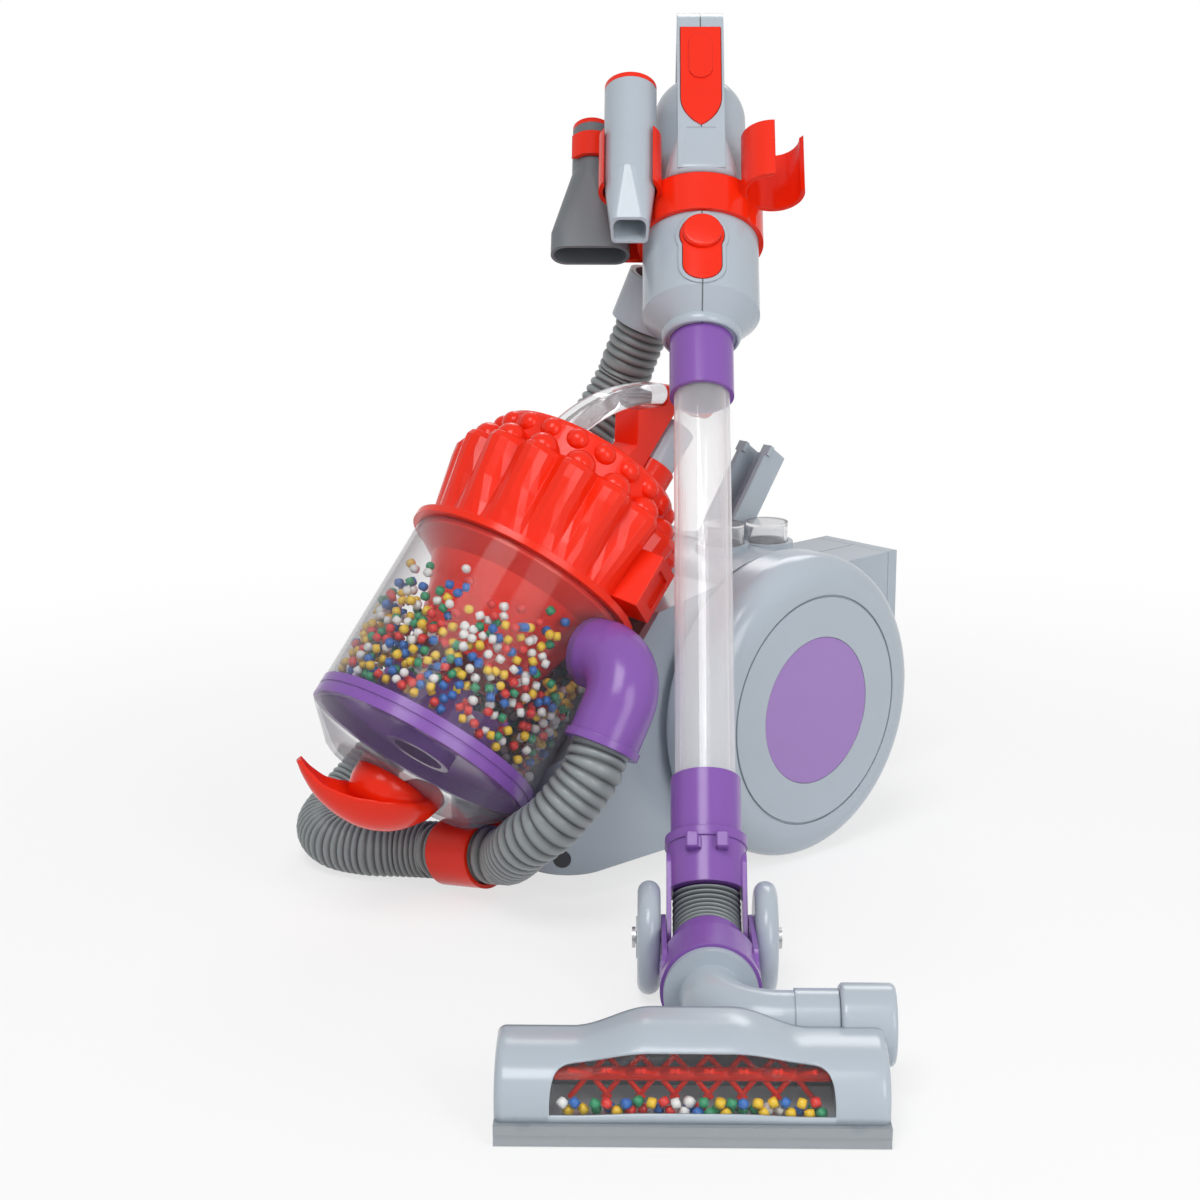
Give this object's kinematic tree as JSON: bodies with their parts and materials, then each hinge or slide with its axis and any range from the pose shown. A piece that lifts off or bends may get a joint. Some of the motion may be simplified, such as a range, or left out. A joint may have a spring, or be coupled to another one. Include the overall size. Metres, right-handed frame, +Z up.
{
  "type": "toy vacuum cleaner",
  "caption": "Toy cylinder vacuum cleaner: wheeled canister with a clear bead bin, ribbed hose, leaning wand with handle and tools, and a rolling floor head.",
  "frame": {"origin": "floor under the middle of the bounding box of the whole toy, hose left out", "axes": "+Z up, -Y towards the nose of the canister, +X from the canister towards the side on which the wand stands"},
  "size_m": [0.4726, 0.501, 0.4557],
  "materials": {
    "grey": "light bluish grey moulded plastic, semi-gloss",
    "red": "orange-red moulded plastic, glossy",
    "purple": "purple moulded plastic, glossy",
    "clear": "clear moulded plastic",
    "hose_grey": "grey-green flexible ribbed plastic",
    "dark_grey": "dark grey plastic",
    "steel": "plain steel",
    "cells": "dark sleeved battery cells",
    "beads": "small mixed-colour plastic beads"
  },
  "bodies": {
    "canister": {"shell_left": "grey", "shell_right": "grey", "shell_screws": "steel", "axle": "steel", "motor": "steel", "batteries": "cells", "battery_door": "grey", "hose_clip": "red", "wand_cradle": "grey", "bin_cylinder": "clear", "bin_ring": "purple", "bin_base": "clear", "bin_beads": "beads", "cyclone_cone": "red", "cyclone_crown": "red", "bin_latch": "red", "bin_handle": "clear", "handle_back": "red", "outlet_cuff": "grey", "scoop": "red", "inlet_elbow": "purple", "hose": "hose_grey", "lower_yoke": "purple", "neck_pins": "steel"},
    "left_wheel": {"wheel_left": "grey", "hub_disc_left": "purple"},
    "right_wheel": {"wheel_right": "grey", "hub_disc_right": "purple"},
    "roller": {"nose_roller": "dark_grey"},
    "fan": {"impeller": "dark_grey"},
    "debris_drawer": {"drawer": "grey"},
    "power_cap": {"power_button": "clear"},
    "light_cap": {"light_button": "clear"},
    "paddle": {"spinner": "purple"},
    "left_neck_wheel": {"neck_wheel_left": "grey"},
    "right_neck_wheel": {"neck_wheel_right": "grey"},
    "wand": {"upper_yoke": "purple", "bellows": "hose_grey", "lower_collar": "purple", "wand_tube": "clear", "upper_collar": "purple", "handle_left": "grey", "handle_right": "grey", "hose_cuff": "grey", "tool_band": "red"},
    "grip_trigger": {"trigger": "red"},
    "barrel_release": {"release_button": "red"},
    "narrow_tool": {"crevice_tool": "grey", "crevice_ring": "red"},
    "wide_tool": {"brush_tool": "dark_grey", "brush_ring": "red"},
    "pipe": {"elbow_pipe": "grey"},
    "floor_head": {"head_shell": "grey", "head_window": "clear", "sole": "clear", "head_beads": "beads", "sole_screws": "steel"},
    "beater": {"brush_bar": "red"}
  },
  "joints": [
    {"name": "left_wheel_spin", "type": "hinge", "parent": "canister", "child": "left_wheel", "pos_m": [-0.1171, 0.1085, 0.085], "axis": [1, 0, 0], "continuous": true},
    {"name": "right_wheel_spin", "type": "hinge", "parent": "canister", "child": "right_wheel", "pos_m": [-0.1171, 0.1085, 0.085], "axis": [1, 0, 0], "continuous": true},
    {"name": "roller_spin", "type": "hinge", "parent": "canister", "child": "roller", "pos_m": [-0.1171, -0.0095, 0.009], "axis": [1, 0, 0], "continuous": true},
    {"name": "fan_spin", "type": "hinge", "parent": "canister", "child": "fan", "pos_m": [-0.1171, 0.0685, 0.11], "axis": [1, 0, 0], "continuous": true},
    {"name": "paddle_spin", "type": "hinge", "parent": "canister", "child": "paddle", "pos_m": [-0.1171, -0.09, 0.0913], "axis": [0, 0.6639, 0.7478], "continuous": true},
    {"name": "drawer_slide", "type": "slide", "parent": "canister", "child": "debris_drawer", "axis": [0, 1, 0], "range_m": [0, 0.065]},
    {"name": "power_press", "type": "slide", "parent": "canister", "child": "power_cap", "axis": [0, 0, -1], "range_m": [0, 0.0025], "stiffness_N_per_m": 400},
    {"name": "light_press", "type": "slide", "parent": "canister", "child": "light_cap", "axis": [0, 0, -1], "range_m": [0, 0.0025], "stiffness_N_per_m": 400},
    {"name": "left_neck_wheel_spin", "type": "hinge", "parent": "canister", "child": "left_neck_wheel", "pos_m": [0.0648, -0.0691, 0.027], "axis": [0.6984, 0.7157, 0], "continuous": true},
    {"name": "right_neck_wheel_spin", "type": "hinge", "parent": "canister", "child": "right_neck_wheel", "pos_m": [0.0648, -0.0691, 0.027], "axis": [0.6984, 0.7157, 0], "continuous": true},
    {"name": "wand_tilt", "type": "hinge", "parent": "canister", "child": "wand", "pos_m": [0.0648, -0.0691, 0.027], "axis": [0.6984, 0.7157, 0], "range_deg": [0, 35], "deforming": ["hose", "bellows"]},
    {"name": "trigger_press", "type": "slide", "parent": "wand", "child": "grip_trigger", "axis": [-0.5442, 0.5311, -0.6494], "range_m": [0, 0.0025], "stiffness_N_per_m": 400},
    {"name": "release_press", "type": "slide", "parent": "wand", "child": "barrel_release", "axis": [-0.5442, 0.5311, -0.6494], "range_m": [0, 0.0025], "stiffness_N_per_m": 400},
    {"name": "narrow_tool_pull", "type": "slide", "parent": "wand", "child": "narrow_tool", "axis": [-0.4648, 0.4536, 0.7604], "range_m": [0, 0.05]},
    {"name": "wide_tool_pull", "type": "slide", "parent": "wand", "child": "wide_tool", "axis": [0.4648, -0.4536, -0.7604], "range_m": [0, 0.025]},
    {"name": "pipe_swivel", "type": "hinge", "parent": "canister", "child": "pipe", "pos_m": [0.11847, -0.12149, 0.03], "axis": [-0.7157, 0.6984, 0], "range_deg": [-15, 15]},
    {"name": "head_pitch", "type": "hinge", "parent": "pipe", "child": "floor_head", "pos_m": [0.18328, -0.10089, 0.03], "axis": [0.6984, 0.7157, 0], "range_deg": [-8, 8]},
    {"name": "beater_spin", "type": "hinge", "parent": "floor_head", "child": "beater", "pos_m": [0.15872, -0.17474, 0.022], "axis": [0.6984, 0.7157, 0], "continuous": true}
  ]
}
